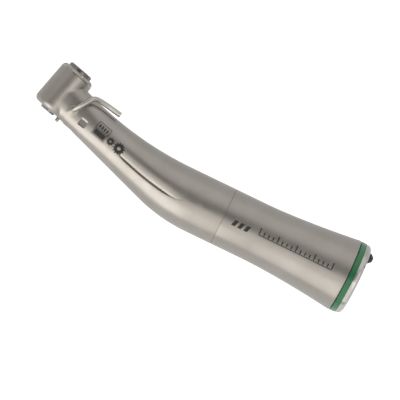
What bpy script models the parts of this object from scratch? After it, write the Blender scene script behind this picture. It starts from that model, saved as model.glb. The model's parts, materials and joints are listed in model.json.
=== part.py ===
"""Dental contra-angle handpiece with a 20:1 reduction, lying on its side.

Every size below is in millimetres in the tool's own frame: +X runs from the motor face to the head,
+Y is the side that the bur points to, -Y is the button side, +Z is the side that faces up on the
table. MM turns the sizes into metres when a mesh is made. An empty lays the finished tool down.
"""

import math

import bmesh
import bpy
from mathutils import Matrix, Vector

MM = 0.001

# Outer form along the handle
FACE_X = 0.6
BAND_X = (2.25, 3.65)
SLEEVE_X = (3.95, 39.3)
SHELL_X = 39.5
REAR_RADIUS = 10.0
WAIST_RADIUS = 7.97
FLARE_X = (4.0, 30.0)
FLARE_POWER = 1.6

# Bend and neck
KNEE_X = 56.7
BEND = math.radians(15)
NECK_LENGTH = 36.85
BACK_ARC = (52.5, 94.6)
BELLY_ARC_RADIUS = 46.0
BELLY_SLOPE = math.radians(19.19)
BELLY_POINT = (64.0, 4.68)
SECTION_LEAN = math.radians(16.7)
NECK_NARROWING = 0.12
NECK_SQUARENESS = 0.65
WALL = 0.8

# Head, as heights along the bur axis (positive towards the bur)
HEAD_RADIUS = 4.92
HEAD_BORE = 4.05
HEAD_TOP = -7.3
CAP_TOP = -8.3
BUTTON_TOP = -9.35
BUTTON_RADIUS = 3.5
BUTTON_TRAVEL = 0.7
BUR_RADIUS = 1.18
NOSE_END = 4.9
NOZZLE_Y = 3.6
NOZZLE_END = 5.45

# Finger scallops on both flanks of the bend, and the clip recess near the head
SCALLOP_DEPTH = 0.5
POCKET_DEPTH = 0.42

# Bores and clearances
SLEEVE_BORE = 7.45
SOCKET_RADIUS = 4.9
GUIDE_RADIUS = 0.5
GUIDE_Y = -6.7
PLUG_RADIUS = 1.5
PLUG_TIP = -1.05
FIT = 0.1

# Gear train: 12/48 teeth give 5:1, 12/36 give 4:1, and both bevel pairs are 1:1
FIRST = {"module": 0.22, "sun": 12, "planet": 18, "ring": 48, "x": (26.0, 30.2)}
SECOND = {"module": 0.28, "sun": 12, "planet": 12, "ring": 36, "x": (32.2, 37.6)}
PLANETS = 3
RING_RADIUS = 5.85
PIN_RADIUS = 0.7
KNEE_BEVEL = {"teeth": 14, "radius": 3.0, "angle": math.radians(82.5), "face": 1.0}
HEAD_BEVEL = {"teeth": 12, "radius": 2.23, "angle": math.radians(45), "face": 0.55}

# Irrigation tube
TUBE_RADIUS = 0.715
TUBE_BORE = 0.42
TUBE_ROUTE = [(87.75, -7.0, 3.45), (87.07, -7.87, 4.35), (86.39, -8.73, 5.25), (85.3, -10.17, 5.88),
              (84.1, -11.9, 5.8), (83.1, -12.95, 5.2), (81.73, -13.15, 4.0), (79.5, -12.9, 2.8),
              (77.5, -12.55, 2.15), (75.4, -12.17, 1.7)]

# Facets round a circle
BIG, MID, SMALL = 40, 24, 16
SHELL_FACETS = 36
HEAD_FACETS = 32
CAP_FACETS = 28

# How the tool rests on the table
ROLL = math.radians(3.97)
PITCH = math.radians(2.60)

FINISHES = {
    "satin_titanium": ((0.42, 0.40, 0.37), 1.0, 0.38),
    "polished_steel": ((0.66, 0.66, 0.67), 1.0, 0.12),
    "green_band": ((0.02, 0.22, 0.09), 0.0, 0.35),
    "gear_steel": ((0.50, 0.50, 0.52), 1.0, 0.25),
    "bronze": ((0.50, 0.34, 0.16), 1.0, 0.35),
    "black_plastic": ((0.015, 0.015, 0.016), 0.0, 0.4),
    "seal_rubber": ((0.03, 0.03, 0.03), 0.0, 0.7),
    "glass_rod": ((0.80, 0.86, 0.88), 0.0, 0.05),
}


def clear_scene():
    for item in list(bpy.data.objects):
        bpy.data.objects.remove(item, do_unlink=True)


def finish(name):
    found = bpy.data.materials.get(name)
    if found:
        return found
    colour, metallic, roughness = FINISHES[name]
    made = bpy.data.materials.new(name)
    made.use_nodes = True
    shader = made.node_tree.nodes["Principled BSDF"]
    shader.inputs["Base Color"].default_value = (*colour, 1.0)
    shader.inputs["Metallic"].default_value = metallic
    shader.inputs["Roughness"].default_value = roughness
    made.diffuse_color = (*colour, 1.0)
    return made


def frame(name, parent=None, place=(0, 0, 0), turn=0.0):
    """An empty at a place in millimetres, turned about +Z."""
    empty = bpy.data.objects.new(name, None)
    bpy.context.collection.objects.link(empty)
    empty.parent = parent
    empty.location = Vector(place) * MM
    empty.rotation_euler = (0, 0, turn)
    return empty


def piece(name, bm, look, parent, place=(0, 0, 0)):
    """Turns a bmesh into an object with its own material; its origin stays on its parent's axis."""
    bmesh.ops.remove_doubles(bm, verts=bm.verts, dist=1e-7)
    bmesh.ops.recalc_face_normals(bm, faces=bm.faces)
    mesh = bpy.data.meshes.new(name)
    bm.to_mesh(mesh)
    bm.free()
    mesh.shade_smooth()
    mesh.set_sharp_from_angle(angle=math.radians(35))
    mesh.materials.append(finish(look))
    made = bpy.data.objects.new(name, mesh)
    bpy.context.collection.objects.link(made)
    made.parent = parent
    made.location = Vector(place) * MM
    return made


def guide(made):
    """Marks an object as construction only."""
    made.hide_render = True
    made.display_type = "WIRE"
    return made


def combine(target, other, operation):
    modifier = target.modifiers.new(f"{operation.lower()}_{other.name}", "BOOLEAN")
    modifier.operation = operation
    modifier.object = guide(other)
    modifier.solver = "EXACT"


def cut(target, *cutters):
    for cutter in cutters:
        combine(target, cutter, "DIFFERENCE")


def join(target, *others):
    for other in others:
        combine(target, other, "UNION")


def lathe(name, profile, look, parent, segments=MID, place=(0, 0, 0)):
    """Spins (along, radius) points about the parent's X axis; the outline closes on itself."""
    bm = bmesh.new()
    verts = [bm.verts.new((x * MM, r * MM, 0)) for x, r in profile]
    edges = [bm.edges.new(pair) for pair in zip(verts, verts[1:])]
    if profile[0][1] or profile[-1][1]:
        edges.append(bm.edges.new((verts[-1], verts[0])))
    bmesh.ops.spin(bm, geom=verts + edges, cent=(0, 0, 0), axis=(1, 0, 0), dvec=(0, 0, 0),
                   angle=math.tau, steps=segments, use_merge=True)
    return piece(name, bm, look, parent, place)


def tube(name, x0, x1, inner, outer, look, parent, segments=MID, place=(0, 0, 0)):
    outline = [(x0, inner), (x0, outer), (x1, outer), (x1, inner)]
    return lathe(name, outline, look, parent, segments, place)


def rod(name, x0, x1, radius, look, parent, segments=SMALL, place=(0, 0, 0)):
    outline = [(x0, 0), (x0, radius), (x1, radius), (x1, 0)]
    return lathe(name, outline, look, parent, segments, place)


def block(name, low, high, parent):
    """A box cutter between two corners."""
    bm = bmesh.new()
    size = [b - a for a, b in zip(low, high)]
    middle = [(a + b) / 2 for a, b in zip(low, high)]
    turned = Matrix.Translation(Vector(middle) * MM) @ Matrix.Diagonal((*(s * MM for s in size), 1))
    bmesh.ops.create_cube(bm, size=1.0, matrix=turned)
    return piece(name, bm, "gear_steel", parent)


def prism(name, loops, x0, x1, look, parent, place=(0, 0, 0)):
    """Fills flat (y, z) loops, the later ones as holes, and extrudes them along X."""
    bm = bmesh.new()
    edges = []
    for loop in loops:
        verts = [bm.verts.new((x0 * MM, y * MM, z * MM)) for y, z in loop]
        edges += [bm.edges.new((a, b)) for a, b in zip(verts, verts[1:] + verts[:1])]
    filled = bmesh.ops.triangle_fill(bm, edges=edges, use_beauty=True, normal=(1, 0, 0))
    faces = [item for item in filled["geom"] if isinstance(item, bmesh.types.BMFace)]
    grown = bmesh.ops.extrude_face_region(bm, geom=faces)
    moved = [item for item in grown["geom"] if isinstance(item, bmesh.types.BMVert)]
    bmesh.ops.translate(bm, verts=moved, vec=((x1 - x0) * MM, 0, 0))
    return piece(name, bm, look, parent, place)


def skin(name, rings, look, parent, looped=False):
    """Bridges rings of points in order; looped joins the last to the first, else the ends are capped."""
    bm = bmesh.new()
    made = [[bm.verts.new(Vector(p) * MM) for p in ring] for ring in rings]
    pairs = list(zip(made, made[1:]))
    if looped:
        pairs.append((made[-1], made[0]))
    for one, two in pairs:
        count = len(one)
        for i in range(count):
            j = (i + 1) % count
            bm.faces.new((one[i], one[j], two[j], two[i]))
    if not looped:
        bm.faces.new(made[0])
        bm.faces.new(made[-1])
    return piece(name, bm, look, parent)


def circle(radius, count, phase=0.0):
    turns = [phase + math.tau * i / count for i in range(count)]
    return [(radius * math.cos(t), radius * math.sin(t)) for t in turns]


def smooth_path(points, per_span):
    """Catmull-Rom through hand-placed points."""
    spots = [Vector(p) for p in points]
    spots = [2 * spots[0] - spots[1], *spots, 2 * spots[-1] - spots[-2]]
    path = []
    for a, b, c, d in zip(spots, spots[1:], spots[2:], spots[3:]):
        for k in range(per_span):
            t = k / per_span
            path.append(0.5 * (2 * b + (c - a) * t + (2 * a - 5 * b + 4 * c - d) * t * t
                               + (3 * b - a - 3 * c + d) * t ** 3))
    path.append(spots[-2])
    return path


def sweep(name, path, radius, look, parent, bore=0.0, sides=12):
    """A round rod or, with a bore, a tube along a path, on frames carried without twist."""
    steps = [(b - a).normalized() for a, b in zip(path, path[1:])]
    heads = [steps[0]] + [(a + b).normalized() for a, b in zip(steps, steps[1:])] + [steps[-1]]
    side = heads[0].orthogonal().normalized()
    outer, inner = [], []
    for spot, ahead in zip(path, heads):
        side = (side - ahead * side.dot(ahead)).normalized()
        up = ahead.cross(side)
        ring = [side * c + up * s for c, s in circle(1.0, sides)]
        outer.append([spot + radius * p for p in ring])
        inner.append([spot + bore * p for p in ring])
    if bore:
        return skin(name, outer + inner[::-1], look, parent, looped=True)
    return skin(name, outer, look, parent)


# The outer form


def flare(x):
    """Radius of the rear sleeve: a soft flare from the waist to the rear band."""
    reach = max(0.0, (FLARE_X[1] - x) / (FLARE_X[1] - FLARE_X[0]))
    return WAIST_RADIUS + (REAR_RADIUS - WAIST_RADIUS) * reach ** FLARE_POWER


def back_y(x):
    """Button-side outline: straight, then one long arc up to the head."""
    start, radius = BACK_ARC
    run = max(0.0, x - start)
    return -WAIST_RADIUS - (radius - math.sqrt(radius * radius - run * run))


def belly_y(x):
    """Bur-side outline: straight, a round bend, then a straight taper."""
    slope = math.tan(BELLY_SLOPE)
    corner = BELLY_POINT[0] - (WAIST_RADIUS - BELLY_POINT[1]) / slope
    tangent = BELLY_ARC_RADIUS * math.tan(BELLY_SLOPE / 2)
    if x <= corner - tangent:
        return WAIST_RADIUS
    if x >= corner + tangent * math.cos(BELLY_SLOPE):
        return BELLY_POINT[1] - slope * (x - BELLY_POINT[0])
    run = x - (corner - tangent)
    return WAIST_RADIUS - (BELLY_ARC_RADIUS - math.sqrt(BELLY_ARC_RADIUS ** 2 - run * run))


def ease(x, low, high):
    t = min(1.0, max(0.0, (x - low) / (high - low)))
    return t * t * (3 - 2 * t)


def section_form(u):
    """Centre, downward arm, half height, half width and squareness of the neck's section at u."""
    lean = SECTION_LEAN * ease(u, 47, 65)
    half = (belly_y(u) - back_y(u)) / 2 * math.cos(lean)
    shift = half * math.sin(lean)
    top = Vector((u - shift, back_y(u - shift), 0))
    low = Vector((u + shift, belly_y(u + shift), 0))
    deep = (low - top).length / 2
    wide = deep * (1 - NECK_NARROWING * ease(u, 72, 90))
    power = 2 + NECK_SQUARENESS * ease(u, 74, 90)
    return (top + low) / 2, (low - top).normalized(), deep, wide, power


def section(u, inset=0.0, count=SHELL_FACETS):
    """One ring of the neck: leaning with the bend, round at the handle and squarer at the head."""
    middle, arm, deep, wide, power = section_form(u)
    ring = []
    for c, s in circle(1.0, count):
        along = math.copysign(abs(c) ** (2 / power), c) * (deep - inset)
        across = math.copysign(abs(s) ** (2 / power), s) * (wide - inset)
        ring.append(middle + arm * along + Vector((0, 0, across)))
    return ring


def flank_z(x, y):
    """Height of the neck's near flank over a point of the mid plane."""
    lean = SECTION_LEAN * ease(x, 47, 65)
    middle = (belly_y(x) + back_y(x)) / 2
    middle, arm, deep, wide, power = section_form(x - (y - middle) * math.tan(lean))
    share = min(1.0, abs((Vector((x, y, 0)) - middle).dot(arm)) / deep)
    return wide * (1 - share ** power) ** (1 / power)


def ring_at(x, radius, count=SHELL_FACETS):
    return [Vector((x, c, s)) for c, s in circle(radius, count)]


# Gears


def spur(teeth, module, phase, inward=False):
    """Outline of a spur gear with slim teeth; inward gives a ring gear's teeth."""
    pitch = teeth * module / 2
    sign = -1 if inward else 1
    tip, root = pitch + sign * 0.72 * module, pitch - sign * 0.95 * module
    step = math.tau / teeth
    shape = ((root, -0.27), (tip, -0.11), (tip, 0.11), (root, 0.27))
    outline = []
    for tooth in range(teeth):
        for radius, share in shape:
            turn = phase + (tooth + share) * step
            outline.append((radius * math.cos(turn), radius * math.sin(turn)))
    return outline


def planet_phase(stage, turn):
    """Turns a planet so that a gap faces each sun tooth."""
    sun, planet = stage["sun"], stage["planet"]
    return turn + math.pi - math.tau / planet * (0.5 - sun * turn / math.tau)


def ring_phase(stage):
    own = -planet_phase(stage, 0.0) * stage["planet"] / math.tau - 0.5
    return -own * math.tau / stage["ring"]


def bevel(name, gear, hub, bore, phase, look, parent, facing=1):
    """A bevel gear whose cone apex is the parent's origin; its body lies on the facing side."""
    reach = gear["radius"] / math.sin(gear["angle"])
    step = math.tau / gear["teeth"]
    lift = 0.3 / reach
    turns, heights = [], []
    for tooth in range(gear["teeth"]):
        for share, height in ((-0.26, -1.1), (-0.12, 0.85), (0.12, 0.85), (0.26, -1.1)):
            turns.append(phase + (tooth + share) * step)
            heights.append(gear["angle"] + lift * height)

    def teeth(distance):
        return [(distance * math.cos(a), distance * math.sin(a)) for a in heights]

    outer, inner = teeth(reach), teeth(reach - gear["face"])
    nose = max(x for x, _ in inner)
    rims = [outer, inner, [(nose, bore)] * len(turns), [(hub[0], bore)] * len(turns),
            [(hub[0], hub[1])] * len(turns)]
    rings = [[(facing * x, r * math.cos(t), r * math.sin(t)) for (x, r), t in zip(rim, turns)]
             for rim in rims]
    return skin(name, rings, look, parent, looped=True)


def planet_set(stage, label, parent, number):
    """Three planets on their own axes, between the sun and the ring gear."""
    orbit = (stage["sun"] + stage["planet"]) * stage["module"] / 2
    low, high = stage["x"]
    for k in range(PLANETS):
        turn = math.tau * k / PLANETS
        place = (0, orbit * math.cos(turn), orbit * math.sin(turn))
        outline = spur(stage["planet"], stage["module"], planet_phase(stage, turn))
        prism(f"{label}_planet_{k + 1}", [outline, circle(PIN_RADIUS + FIT, 12)], low + 0.3, high - 0.3,
              "gear_steel", parent, place)


def carrier(name, stage, plate_x, plate_radius, parent, hub):
    """A plate with three planet pins behind it and a hub on its front."""
    orbit = (stage["sun"] + stage["planet"]) * stage["module"] / 2
    outline = [(plate_x[0], 0), (plate_x[0], plate_radius), (plate_x[1], plate_radius), *hub]
    body = lathe(name, outline, "gear_steel", parent, MID)
    for k in range(PLANETS):
        turn = math.tau * k / PLANETS
        place = (0, orbit * math.cos(turn), orbit * math.sin(turn))
        pin = rod(f"{name}_pin_{k + 1}", stage["x"][0] + 0.1, plate_x[0] + 0.4, PIN_RADIUS,
                  "gear_steel", parent, 12, place)
        join(body, pin)
    return body


# The assembly


def rear_end(axis):
    lip = BAND_X[0] - 0.1
    end_ring = lathe("rear_end_ring", [
        (FACE_X, SOCKET_RADIUS), (FACE_X, 9.2), (FACE_X + 0.55, 9.78), (lip, 9.92), (lip, SOCKET_RADIUS),
    ], "polished_steel", axis, BIG)
    cut(end_ring, rod("plug_hole", -1, 3, PLUG_RADIUS + 0.05, "gear_steel", axis, 24, (0, GUIDE_Y, 0)))
    tube("colour_band", *BAND_X, 8.05, 9.98, "green_band", axis, BIG)
    low, high = SLEEVE_X
    outer = [low, 5, 7, 9.5, 12, 15, 18, 21, 25, FLARE_X[1], high]
    lathe("rear_sleeve", [
        (BAND_X[0], SLEEVE_BORE), (BAND_X[0], 7.95), (low, 7.95), *((x, flare(x)) for x in outer),
        (high, SLEEVE_BORE),
    ], "satin_titanium", axis, BIG)
    lathe("light_plug", [
        (PLUG_TIP, 0), (PLUG_TIP, 0.75), (PLUG_TIP + 0.75, PLUG_RADIUS - 0.1), (FACE_X, PLUG_RADIUS),
        (lip - 0.05, PLUG_RADIUS), (lip - 0.05, 0),
    ], "black_plastic", axis, 24, (0, GUIDE_Y, 0))


def socket(axis):
    """Bush that takes the motor's nose, with its latch ring and its seal."""
    lathe("coupling_bush", [
        (2.4, SOCKET_RADIUS + 0.15), (2.4, 5.7), (6.0, 5.7), (6.0, 5.35), (6.7, 5.35), (6.7, 5.7),
        (20.2, 5.7), (20.2, SOCKET_RADIUS), (12.6, SOCKET_RADIUS), (12.6, 5.3), (11.8, 5.3),
        (11.8, SOCKET_RADIUS), (2.75, SOCKET_RADIUS),
    ], "bronze", axis, 32)
    tube("latch_ring", 11.9, 12.5, 4.75, 5.22, "polished_steel", axis, MID)
    lathe("coupling_seal", [
        (6.1, 5.55), (6.2, 5.42), (6.5, 5.42), (6.6, 5.55), (6.6, 5.85), (6.35, 6.0), (6.1, 5.85),
    ], "seal_rubber", axis, MID)


def gearbox(axis):
    """Both planetary stages, their chassis and the input and output shafts."""
    chassis = lathe("gear_chassis", [
        (20.6, 3.1), (20.6, 7.3), (35.8, 7.3), (35.8, 5.97), (24.6, 5.97), (24.6, 3.1),
    ], "satin_titanium", axis, BIG)
    cut(chassis, block("chassis_groove", (20, -8, -0.7), (37, -5.9, 0.7), axis))
    tube("input_bearing", 21.0, 24.2, 1.15, 3.0, "polished_steel", axis)

    for label, stage in (("first", FIRST), ("second", SECOND)):
        outline = spur(stage["ring"], stage["module"], ring_phase(stage), inward=True)
        prism(f"{label}_ring_gear", [circle(RING_RADIUS, BIG), outline], *stage["x"], "gear_steel", axis)
        planet_set(stage, label, axis, PLANETS)

    lathe("input_shaft", [
        (18.7, 0), (18.7, 1.0), (25.8, 1.0), (25.8, 0.7), (30.0, 0.7), (30.0, 0),
    ], "gear_steel", axis)
    prism("first_sun", [spur(FIRST["sun"], FIRST["module"], 0.0), circle(0.75, 12)], 26.1, 29.9,
          "gear_steel", axis)
    dog = tube("drive_dog", 17.0, 20.0, 1.05, 2.1, "gear_steel", axis)
    cut(dog, block("dog_slot", (16, -0.6, -3), (18.4, 0.6, 3), axis))

    carrier("first_carrier", FIRST, (30.5, 31.6), 4.35, axis, [(31.6, 0.85), (37.2, 0.85), (37.2, 0)])
    prism("second_sun", [spur(SECOND["sun"], SECOND["module"], 0.0), circle(0.9, 12)], 32.3, 37.1,
          "gear_steel", axis)
    carrier("second_carrier", SECOND, (37.9, 39.1), 4.7, axis, [(39.1, 1.5), (55.7, 1.5), (55.7, 0)])

    tube("output_bearing", 41.2, 43.8, 1.6, 3.5, "polished_steel", axis)
    holder("output_bearing_mount", 41.0, 44.0, 3.6, 6.9, -1, axis)
    tube("knee_bearing", 50.3, 52.7, 1.6, 3.2, "polished_steel", axis)
    holder("knee_bearing_mount", 50.1, 52.9, 3.3, 6.5, -1, axis)


def holder(name, x0, x1, bore, radius, side, axis):
    """A disc that holds a bearing in the shell, notched for the light guide on one side."""
    disc = tube(name, x0, x1, bore, radius, "satin_titanium", axis)
    reach = sorted((side * (bore - 0.2), side * (radius + 1)))
    cut(disc, block(f"{name}_notch", (x0 - 1, reach[0], -0.75), (x1 + 1, reach[1], 0.75), axis))


def knee_and_neck(axis, neck, head):
    """The bevel pair at the bend, the neck shaft and its two bearings."""
    half_tooth = math.pi / KNEE_BEVEL["teeth"]
    knee = frame("knee_centre", axis, (KNEE_X, 0, 0))
    bevel("knee_gear_rear", KNEE_BEVEL, (2.2, 2.2), 1.55, math.pi, "gear_steel", knee, -1)
    bevel("knee_gear_front", KNEE_BEVEL, (2.2, 2.0), 1.05, math.pi + half_tooth, "gear_steel", neck)
    rod("neck_shaft", 0.9, 33.2, 1.0, "gear_steel", neck)
    tube("neck_rear_bearing", 4.7, 7.0, 1.1, 2.9, "polished_steel", neck)
    holder("neck_rear_mount", 4.5, 7.2, 3.0, 5.2, -1, neck)
    tube("neck_front_bearing", 28.0, 30.2, 1.1, 2.5, "polished_steel", neck)
    holder("neck_front_mount", 27.8, 30.4, 2.6, 3.5, 1, neck)
    mesh_point = frame("pinion_apex", neck, (NECK_LENGTH, 0, 0))
    bevel("head_pinion", HEAD_BEVEL, (3.6, 1.7), 1.05, 0.0, "gear_steel", mesh_point, -1)
    half_tooth = math.pi / HEAD_BEVEL["teeth"]
    bevel("crown_gear", HEAD_BEVEL, (3.2, 2.1), 1.62, half_tooth, "gear_steel", head, -1)


def head_profile(grow=0.0):
    """Outside of the head: a cylinder with a rounded lower rim."""
    return [(HEAD_TOP, 0), (HEAD_TOP, HEAD_RADIUS + grow), (2.85, HEAD_RADIUS + grow),
            (3.4, 4.81 + grow), (3.9, 4.47 + grow), (4.3 + grow, 3.47), (4.3 + grow, 0)]


def shell(axis, neck, head):
    """Neck and head in one casting, hollow from the gearbox to the chuck."""
    stations = [39.5, 43, 47, 50, 53, 56, 59, 62, 65, 69, 73, 77, 81, 84, 87, 90.6]
    outer = [section(u) for u in stations]
    outer[0] = ring_at(SHELL_X, WAIST_RADIUS)
    spigot = [ring_at(36.1, 7.3), ring_at(SHELL_X, 7.3)]
    body = skin("head_neck_shell", spigot + outer, "satin_titanium", axis)
    join(body, lathe("head_form", head_profile(), "satin_titanium", head, HEAD_FACETS))

    hollow = [ring_at(35, 5.97), ring_at(40.3, 5.97)]
    hollow += [section(u, WALL) for u in (40.5, 47, 51, 55, 59, 63, 68, 74, 80, 86, 90.6)]
    cut(body,
        skin("shell_hollow", hollow, "satin_titanium", axis),
        rod("head_bore", HEAD_TOP - 1, 3.8, HEAD_BORE, "satin_titanium", head, HEAD_FACETS),
        rod("chuck_opening", 3, 6, 2.4, "satin_titanium", head, 24),
        rod("nozzle_seat", 3.4, 6, 0.6, "satin_titanium", head, 12, (0, NOZZLE_Y, 0)),
        block("guide_groove", (35, -7.4, -0.7), (40.6, -5.9, 0.7), axis),
        clip_pocket(axis),
        block("window_opening", (28.2, 2.9, -1.35), (31.6, 7, 1.35), neck),
        tube_seat(axis))
    for side in (1, -1):
        cut(body, finger_scallop(side, axis))


def tube_seat(axis):
    """Cutter for the slanting hole in the near flank that the irrigation tube is soldered into."""
    root, ahead = (Vector(p) for p in TUBE_ROUTE[:2])
    way = (ahead - root).normalized()
    line = [root - 0.3 * way, root + 3.1 * way]
    return sweep("tube_seat", line, TUBE_RADIUS + FIT, "satin_titanium", axis, sides=14)


def clip_pocket(axis):
    """Cutter for the square recess on the near flank, an even depth under the surface."""
    floor, roof = [], []
    for s, d in ((26.6, 0.4), (28.6, 0.4), (28.6, 2.0), (26.6, 2.0)):
        x = KNEE_X + s * math.cos(BEND) + d * math.sin(BEND)
        y = d * math.cos(BEND) - s * math.sin(BEND)
        floor.append((x, y, flank_z(x, y) - POCKET_DEPTH))
        roof.append((x, y, 8))
    return skin("clip_pocket", [floor, roof], "satin_titanium", axis)


def finger_scallop(side, axis):
    """Cutter for the scoop in the bend's flank: a crisp step along the belly, fading to the back."""
    edge = [(72.0, -3.1, 0), (66.0, -0.9, 0), (60.0, 0.62, 0), (54.3, 1.28, 0), (50.0, 0.9, 0)]
    crisp = smooth_path(edge, 3)
    front, back = crisp[0].x, crisp[-1].x
    rings = []
    for spot in crisp:
        share = math.sin(math.pi * (spot.x - back) / (front - back))
        depth, width = SCALLOP_DEPTH * share ** 0.7, 1.2 + 2.4 * share ** 0.5
        floor = flank_z(spot.x, spot.y) - depth
        crease_y = spot.y - width
        crease = flank_z(spot.x, crease_y)
        slope = (crease - floor) / width
        rings.append([(spot.x, spot.y, side * floor), (spot.x, spot.y + 0.3, side * (floor + 1.6)),
                      (spot.x, crease_y - 0.6, side * (crease + 1.2)),
                      (spot.x, crease_y - 0.6, side * (crease + 0.6 * slope + 0.02))])
    return skin(f"scallop_cutter_{'near' if side > 0 else 'far'}", rings, "satin_titanium", axis)


def light_path(axis, neck):
    """The light guide runs along the back, winds round the neck shaft and ends at the window."""
    out = Vector((math.cos(BEND), -math.sin(BEND), 0))
    bur = Vector((math.sin(BEND), math.cos(BEND), 0))
    knee = Vector((KNEE_X, 0, 0))
    path = [Vector((x, GUIDE_Y, 0)) for x in (BAND_X[0], 20.0, 38.0)]
    path += [Vector((x, y, 0)) for x, y in ((43, -6.55), (48, -6.3), (53, -6.15), (57, -6.0))]
    for s in range(5, 28, 2):
        turn = math.pi * ease(s, 7.5, 26)
        reach = 4.85 - 1.73 * ease(s, 7.5, 27)
        around = -bur * math.cos(turn) - Vector((0, 0, 1)) * math.sin(turn)
        path.append(knee + out * s + around * reach)
    path += [knee + out * s + bur * 3.12 for s in (28.0, 30.3)]
    sweep("light_guide", path, GUIDE_RADIUS, "glass_rod", axis, sides=8)


def window_and_water(axis, neck, head):
    pane = block("light_window", (28.35, 3.75, -1.25), (31.45, 4.62, 1.25), neck)
    pane.data.materials[0] = finish("glass_rod")
    tube("spray_nozzle", 3.85, NOZZLE_END, 0.25, 0.5, "polished_steel", head, 12, (0, NOZZLE_Y, 0))
    sweep("irrigation_tube", smooth_path(TUBE_ROUTE, 2), TUBE_RADIUS, "polished_steel", axis,
          bore=TUBE_BORE, sides=10)


def head_parts(head):
    """Spindle, chuck and push button, on the bur axis."""
    lathe("chuck_spindle", [
        (NOSE_END, BUR_RADIUS), (NOSE_END, 1.95), (NOSE_END - 0.2, 2.15), (3.85, 2.15), (3.85, 1.52),
        (-3.3, 1.52), (-3.3, 2.1), (-6.4, 2.1), (-6.4, 1.75), (-3.6, 1.75), (-3.6, BUR_RADIUS),
    ], "gear_steel", head)
    collet = lathe("collet", [
        (-3.75, BUR_RADIUS + 0.03), (-3.75, 1.62), (-5.6, 1.62), (-5.6, 1.45), (-5.1, 1.25),
    ], "gear_steel", head, 24)
    cut(collet, block("collet_slot", (-4.3, -0.2, -3), (-6, 0.2, 3), head))
    tube("upper_bearing_inner", -5.3, -3.75, 2.15, 2.75, "polished_steel", head)
    tube("upper_bearing_outer", -5.3, -3.75, 3.2, 3.95, "polished_steel", head)
    tube("lower_bearing_inner", 2.65, 3.7, 1.57, 2.2, "polished_steel", head)
    tube("lower_bearing_outer", 2.65, 3.7, 3.0, 3.95, "polished_steel", head)
    tube("spring_seat", -5.75, -5.45, 2.3, 3.95, "polished_steel", head)
    lathe("head_cap", [
        (HEAD_TOP - 0.08, 3.85), (HEAD_TOP - 0.08, 4.9), (-7.5, 4.85), (CAP_TOP, 4.15), (CAP_TOP, 3.6),
        (-8.0, 3.6), (-8.0, 3.85),
    ], "polished_steel", head, CAP_FACETS)
    lathe("push_button", [
        (BUTTON_TOP + 0.12, 0), (BUTTON_TOP, 1.4), (BUTTON_TOP, 3.2), (BUTTON_TOP + 0.25, BUTTON_RADIUS),
        (-7.95, BUTTON_RADIUS), (-7.95, 3.75), (-7.6, 3.75), (-7.6, 1.2), (-6.95, 1.2), (-6.95, 0),
    ], "polished_steel", head, CAP_FACETS)
    lathe("release_pin", [
        (-6.85, 0), (-6.85, 1.4), (-6.55, 1.4), (-6.3, 0.85), (-5.9, 0.6), (-5.9, 0),
    ], "gear_steel", head, 24)
    button_spring(head)


def button_spring(head):
    """Flat coil of two and a quarter turns under the button."""
    turns, wire, radius = 2.25, 0.14, 3.2
    low, high = -7.4, -5.92
    count = 30
    path = []
    for i in range(count + 1):
        t = i / count
        turn = math.tau * turns * t
        path.append(Vector((low + (high - low) * t, radius * math.cos(turn), radius * math.sin(turn))))
    sweep("button_spring", path, wire, "polished_steel", head, sides=6)


def corners():
    """Corners of the box round every finished piece, in metres."""
    bpy.context.view_layer.update()
    graph = bpy.context.evaluated_depsgraph_get()
    points = []
    for item in bpy.data.objects:
        if item.type == "MESH" and not item.hide_render:
            solid = item.evaluated_get(graph)
            points += [solid.matrix_world @ v.co for v in solid.data.vertices]
    low = Vector(min(p[i] for p in points) for i in range(3))
    high = Vector(max(p[i] for p in points) for i in range(3))
    return low, high


def lay_down(root):
    """Rolls and pitches the tool onto its side and centres it over the origin."""
    pitched = Matrix.Rotation(PITCH, 3, "Y") @ Matrix.Rotation(ROLL, 3, "X")
    root.rotation_euler = pitched.to_euler()
    low, high = corners()
    root.location -= Vector(((low.x + high.x) / 2, (low.y + high.y) / 2, low.z))
    bpy.context.view_layer.update()


def main():
    clear_scene()
    root = frame("handpiece")
    axis = frame("drive_axis", root)
    neck = frame("neck_axis", axis, (KNEE_X, 0, 0), -BEND)
    head = frame("bur_axis", neck, (NECK_LENGTH, 0, 0), math.pi / 2)
    rear_end(axis)
    socket(axis)
    gearbox(axis)
    knee_and_neck(axis, neck, head)
    shell(axis, neck, head)
    light_path(axis, neck)
    window_and_water(axis, neck, head)
    head_parts(head)
    lay_down(root)


main()
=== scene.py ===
"""Looks of the contra-angle handpiece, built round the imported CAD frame.

Lengths are millimetres in three frames that come from the CAD joints. TOOL has X along the handle,
Y to the bur side and Z to the camera. NECK starts at the bend, with X along the neck. HEAD has X
along the bur, with Y towards the handle. MM turns the lengths into metres.
"""

import json
import math

import bmesh
import bpy
import numpy as np
from mathutils import Matrix, Vector


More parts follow.
